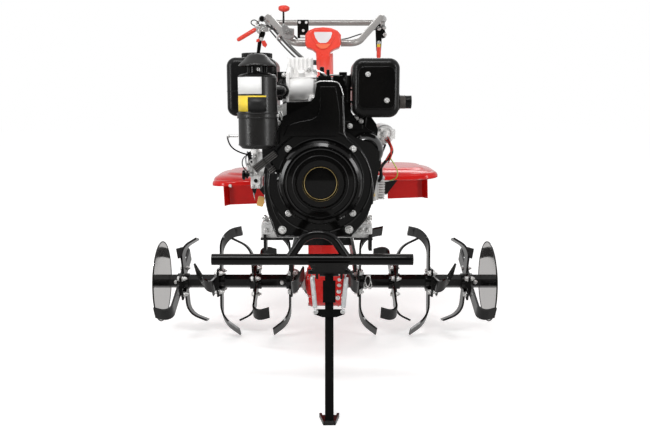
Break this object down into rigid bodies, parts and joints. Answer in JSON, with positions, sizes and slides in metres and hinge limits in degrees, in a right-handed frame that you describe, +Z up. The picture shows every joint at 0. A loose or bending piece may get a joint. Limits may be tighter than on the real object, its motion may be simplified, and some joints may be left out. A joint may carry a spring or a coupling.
{
  "type": "garden tiller",
  "caption": "Walk-behind diesel garden tiller with a tined rotor on a red gear case, front bumper with folding stand, domed fenders and an adjustable handlebar.",
  "frame": {"origin": "on the ground at the middle of the machine's length and width", "axes": "+Z up, +Y back to the handlebar, +X to the right seen from the front"},
  "size_m": [1.003, 1.75, 1.0725],
  "materials": {
    "black_gloss": "gloss black paint",
    "disc_plate": "bright plate",
    "red_paint": "gloss red paint",
    "cast_aluminium": "as cast",
    "grey_plastic": "satin",
    "black_plastic": "satin",
    "black_matte": "heat-proof matt",
    "orange_plastic": "gloss",
    "spring_steel": "zinc plated",
    "grey_tube": "satin grey paint",
    "black_rubber": "matt",
    "grey_steel": "plain"
  },
  "bodies": {
    "frame": {"gear_case": "red_paint", "hitch": "red_paint", "engine_base": "cast_aluminium", "engine_block": "cast_aluminium", "fan_shroud": "black_gloss", "recoil_cover": "black_gloss", "pull_handle": "grey_plastic", "cylinder_head": "cast_aluminium", "rocker_cover": "cast_aluminium", "air_filter": "grey_plastic", "filter_cap": "black_plastic", "intake_elbow": "black_plastic", "fuel_tank": "black_plastic", "fuel_cap": "black_plastic", "tank_bracket": "black_gloss", "muffler": "black_matte", "starter_motor": "cast_aluminium", "injection_pump": "cast_aluminium", "oil_cap": "orange_plastic", "regulator": "cast_aluminium", "bumper_bar": "black_gloss", "bumper_hoop": "black_gloss", "bumper_carriers": "black_gloss", "stand_bracket": "black_gloss", "fender_left": "red_paint", "fender_right": "red_paint", "fender_carriers": "black_gloss", "column_bracket": "red_paint"},
    "rotor": {"rotor_axle": "black_gloss", "tine_set_1": "black_gloss", "tine_set_2": "black_gloss", "tine_set_3": "black_gloss", "tine_set_4": "black_gloss", "end_discs": "disc_plate"},
    "stand": {"stand_leg": "black_gloss", "stand_springs": "spring_steel"},
    "handlebar": {"handle_column": "red_paint", "console": "red_paint", "handle_arm_left": "grey_tube", "handle_arm_right": "grey_tube", "cross_bar": "grey_tube", "handle_grips": "black_rubber", "gear_lever": "grey_steel", "hand_levers": "grey_steel", "cables": "black_rubber"}
  },
  "joints": [
    {"name": "rotor_spin", "type": "hinge", "parent": "frame", "child": "rotor", "pos_m": [0, -0.275, 0.18], "axis": [1, 0, 0], "continuous": true},
    {"name": "stand_fold", "type": "hinge", "parent": "frame", "child": "stand", "pos_m": [0.01, -0.74, 0.325], "axis": [1, 0, 0], "range_deg": [0, 95]},
    {"name": "handle_height", "type": "hinge", "parent": "frame", "child": "handlebar", "pos_m": [0, -0.123, 0.61], "axis": [1, 0, 0], "range_deg": [-12, 20]}
  ]
}
